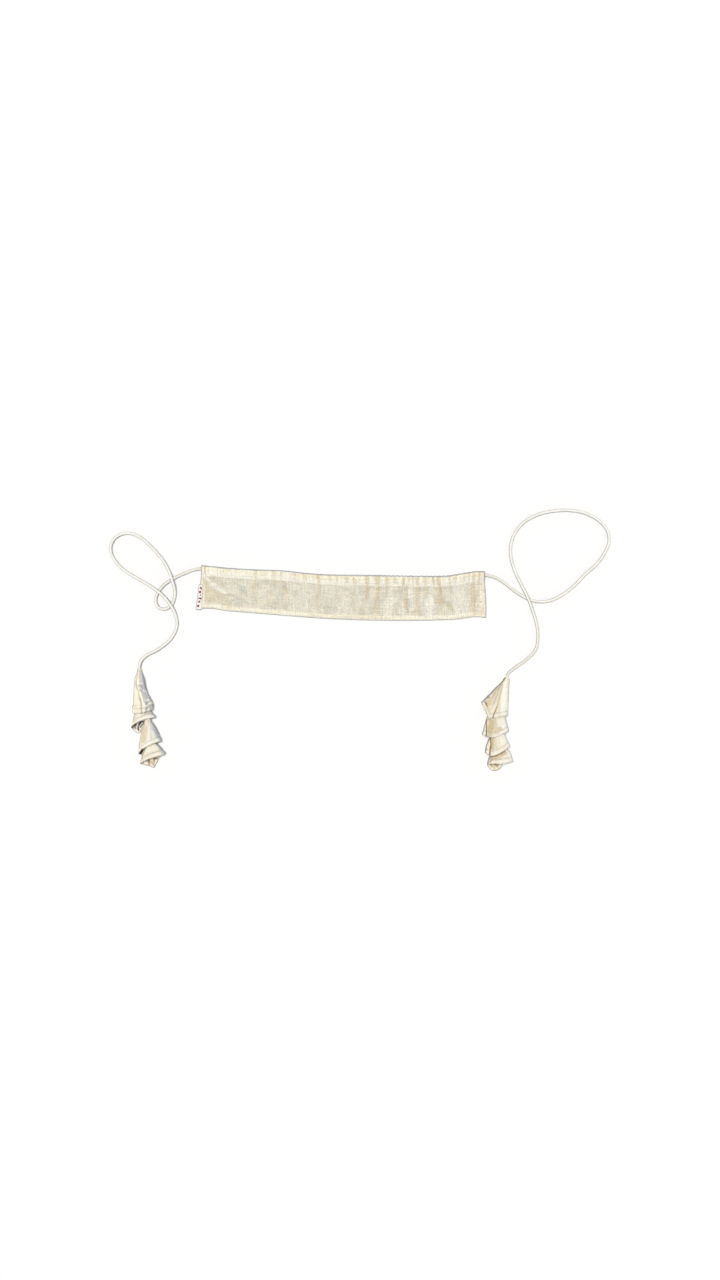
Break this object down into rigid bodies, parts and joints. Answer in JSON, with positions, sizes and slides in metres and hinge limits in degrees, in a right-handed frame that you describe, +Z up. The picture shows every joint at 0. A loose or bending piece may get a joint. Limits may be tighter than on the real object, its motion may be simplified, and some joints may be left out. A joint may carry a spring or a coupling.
{
  "type": "drawstring scarf",
  "caption": "Narrow gathered cotton neck scarf laid flat: a hemmed muslin band on a fabric drawstring whose looped ends carry tassels of nested cloth cones.",
  "frame": {"origin": "On the underside of the band near the middle of its length, flat on the surface that the scarf lies on", "axes": "+X along the band towards the end with the large cord loop, +Y across the band from its lower hem to the cord casing, +Z up from the surface"},
  "size_m": [0.7096, 0.3716, 0.019],
  "materials": {
    "muslin": "unbleached open-weave cotton",
    "cord": "rolled cotton cord",
    "label": "smooth woven tape",
    "tassel": "unbleached cotton with a printed lining"
  },
  "bodies": {
    "root": {"band": "muslin", "label": "label", "drawstring": "cord", "cord_left": "cord", "cord_right": "cord", "tassel_left_tier_1": "tassel", "tassel_left_tier_2": "tassel", "tassel_left_tier_3": "tassel", "tassel_left_tier_4": "tassel", "tassel_right_tier_1": "tassel", "tassel_right_tier_2": "tassel", "tassel_right_tier_3": "tassel", "tassel_right_tier_4": "tassel"}
  },
  "joints": []
}
